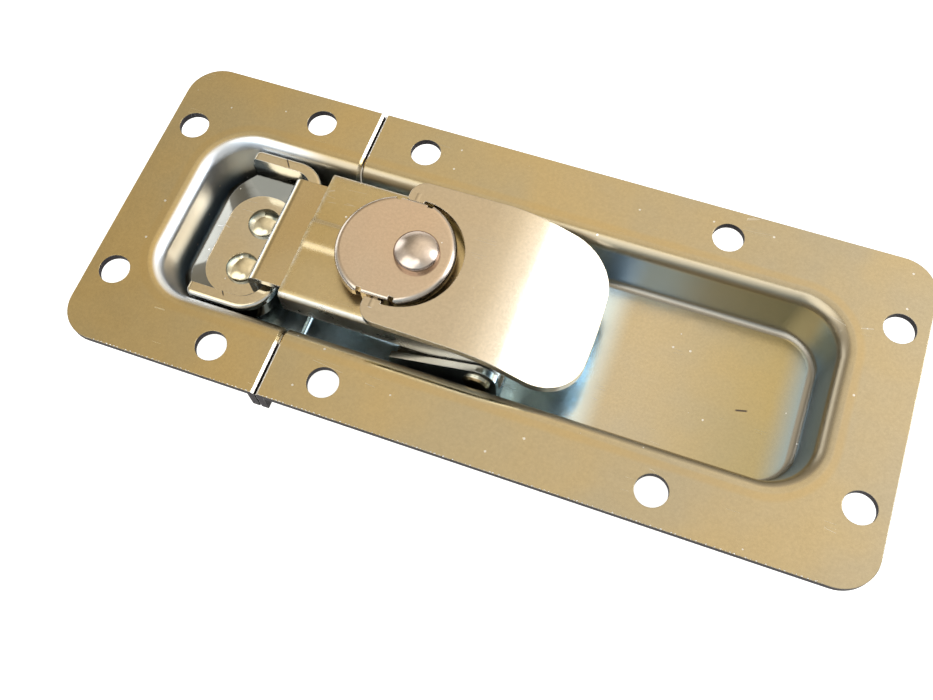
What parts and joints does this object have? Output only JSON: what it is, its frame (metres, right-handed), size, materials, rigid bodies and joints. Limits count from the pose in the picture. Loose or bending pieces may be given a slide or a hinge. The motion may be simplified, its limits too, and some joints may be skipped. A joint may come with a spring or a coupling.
{
  "type": "butterfly latch",
  "caption": "Recessed twist latch for a case, locked: a folding wing turns a hub whose crank draws a hook plate into a keeper.",
  "frame": {"origin": "on the latch's centreline, at the seam between the two halves, in the plane of the flange undersides", "axes": "+X along the latch from the keeper half to the latch half, +Y across it, +Z out of the case wall"},
  "size_m": [0.127, 0.0536, 0.0196],
  "materials": {
    "dish_plate": "bright zinc plate, pressed",
    "bracket_plate": "bright zinc plate",
    "cover_plate": "bright zinc plate",
    "hook_plate": "bright zinc plate",
    "hub_plate": "bright zinc plate",
    "wing_plate": "bright zinc plate",
    "keeper_plate": "bright zinc plate",
    "rivet_steel": "bright zinc plate, turned"
  },
  "bodies": {
    "base": {"latch_dish": "dish_plate", "keeper_dish": "dish_plate", "keeper": "keeper_plate", "keeper_rivets": "rivet_steel", "base_bracket": "bracket_plate", "bracket_rivets": "rivet_steel", "pivot_pin": "rivet_steel"},
    "cover": {"channel_cover": "cover_plate"},
    "hook": {"hook_plate": "hook_plate"},
    "hub": {"hub_disc": "hub_plate", "hub_boss": "hub_plate", "crank_rivet": "rivet_steel", "crank_washer": "rivet_steel", "hinge_pins": "rivet_steel"},
    "wing": {"wing": "wing_plate"}
  },
  "joints": [
    {"name": "cover_lift", "type": "hinge", "parent": "base", "child": "cover", "pos_m": [0.0304, 0, -0.0023], "axis": [0, 1, 0], "range_deg": [0, 12]},
    {"name": "hub_spin", "type": "hinge", "parent": "cover", "child": "hub", "pos_m": [0.0131, 0, 0.0044], "axis": [0, 0, 1], "range_deg": [0, 180]},
    {"name": "hook_slide", "type": "slide", "parent": "cover", "child": "hook", "axis": [-1, 0, 0], "range_m": [0, 0.0072]},
    {"name": "wing_flip", "type": "hinge", "parent": "hub", "child": "wing", "pos_m": [0.0131, 0, 0.0063], "axis": [0, -1, 0], "range_deg": [0, 90]}
  ],
  "couplings": [
    {"joint": "hook_slide", "follows": "hub_spin", "m_per_rad": 0.0022918},
    {"joint": "wing_flip", "follows": "hub_spin", "ratio": 0.5}
  ]
}
